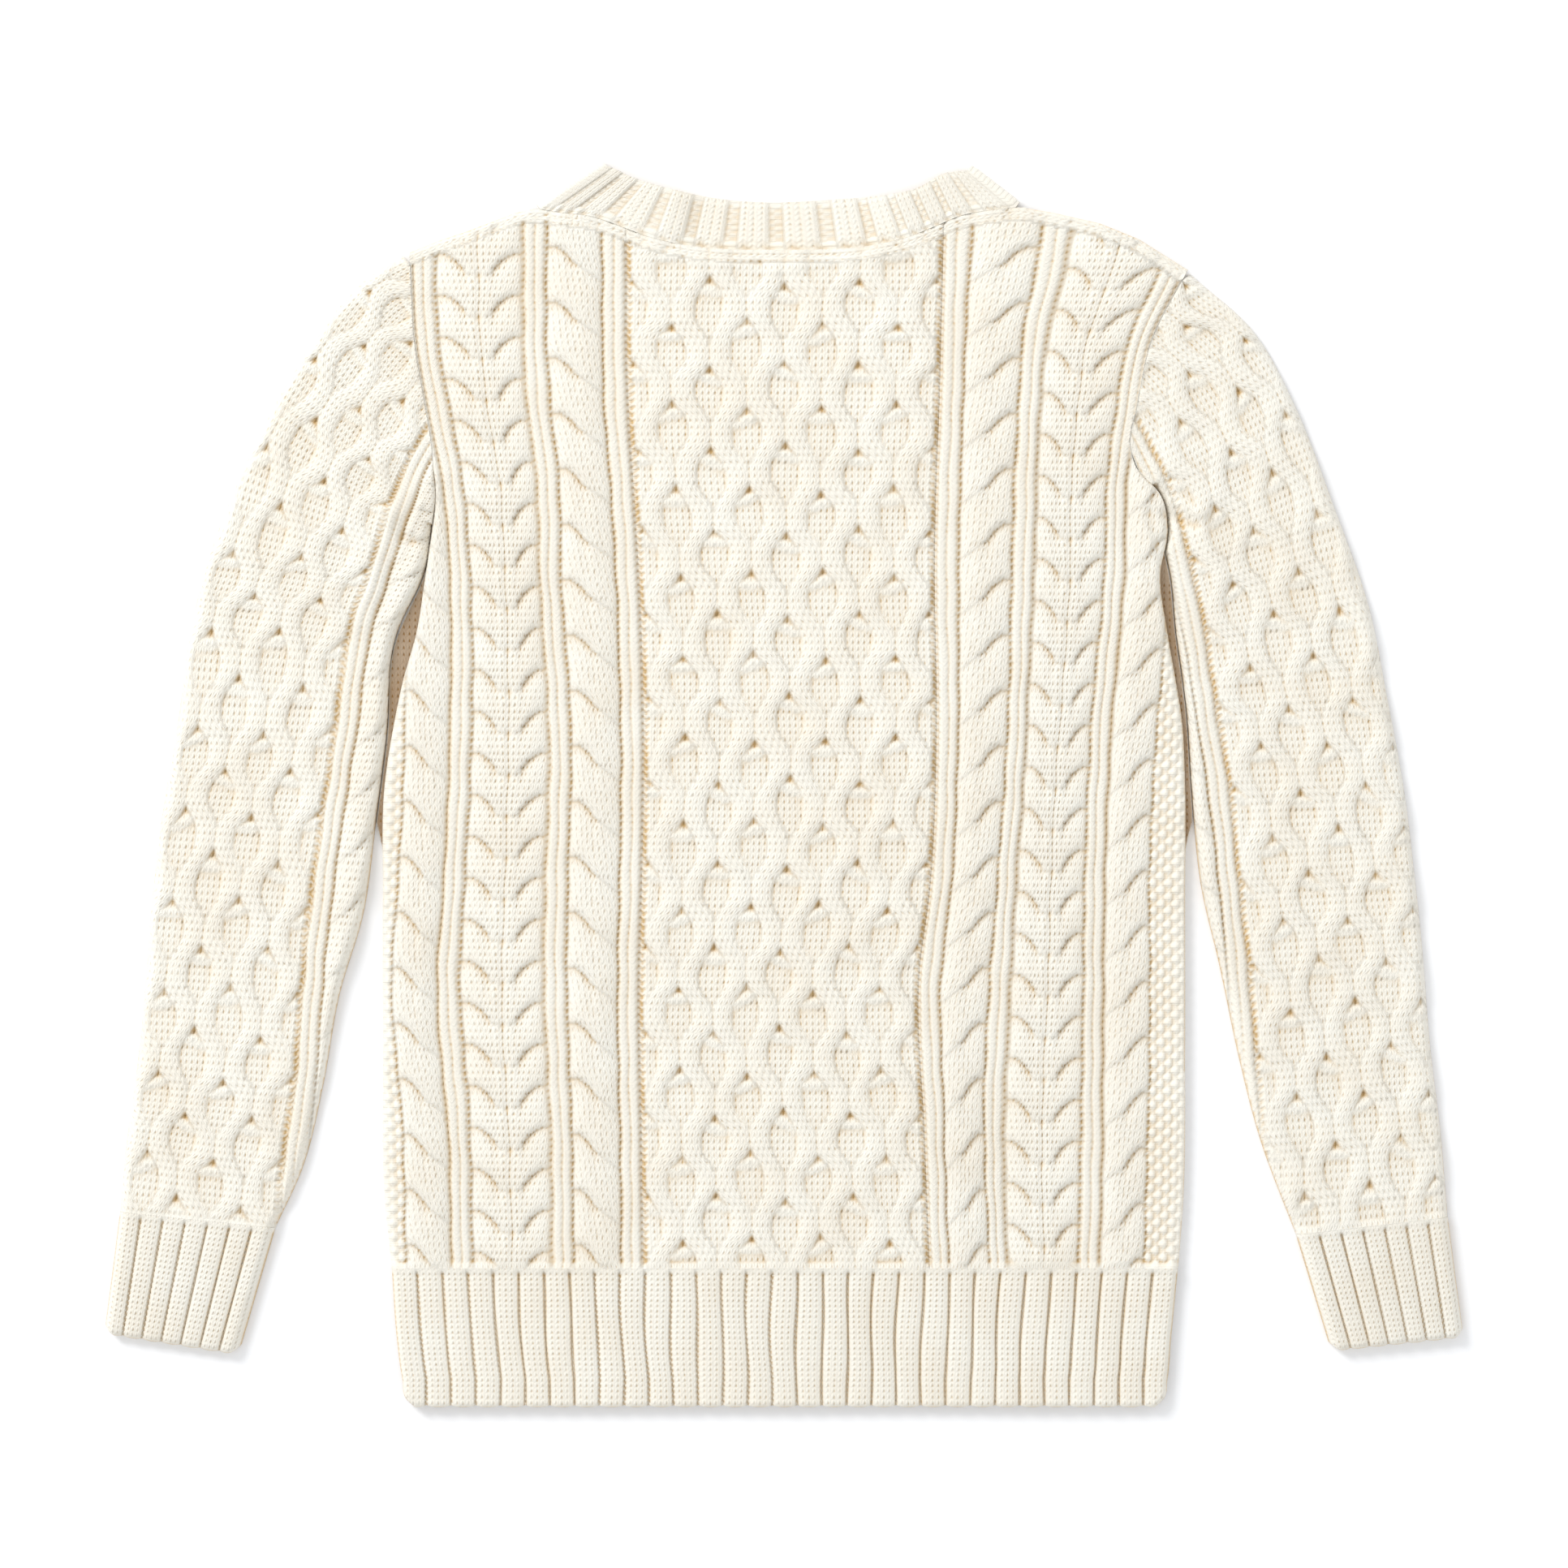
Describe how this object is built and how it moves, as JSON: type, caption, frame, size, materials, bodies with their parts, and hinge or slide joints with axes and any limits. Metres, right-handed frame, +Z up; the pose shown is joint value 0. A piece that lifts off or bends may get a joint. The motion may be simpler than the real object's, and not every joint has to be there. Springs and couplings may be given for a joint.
{
  "type": "sweater",
  "caption": "Crew-neck fisherman sweater in cable knit with long sleeves, laid flat face down with its arms at its sides.",
  "frame": {"origin": "on the surface the garment lies on, under the middle of its bounding box", "axes": "+X across the garment towards the picture's right, +Y from hem to neck, +Z up out of the surface it lies on"},
  "size_m": [0.77, 0.7047, 0.0118],
  "materials": {
    "cream_cotton_knit": "matte"
  },
  "bodies": {
    "root": {"back_panel": "cream_cotton_knit", "front_panel": "cream_cotton_knit", "back_hem_rib": "cream_cotton_knit", "front_hem_rib": "cream_cotton_knit", "left_sleeve": "cream_cotton_knit", "right_sleeve": "cream_cotton_knit", "left_cuff_rib": "cream_cotton_knit", "right_cuff_rib": "cream_cotton_knit", "neckband": "cream_cotton_knit"}
  },
  "joints": []
}
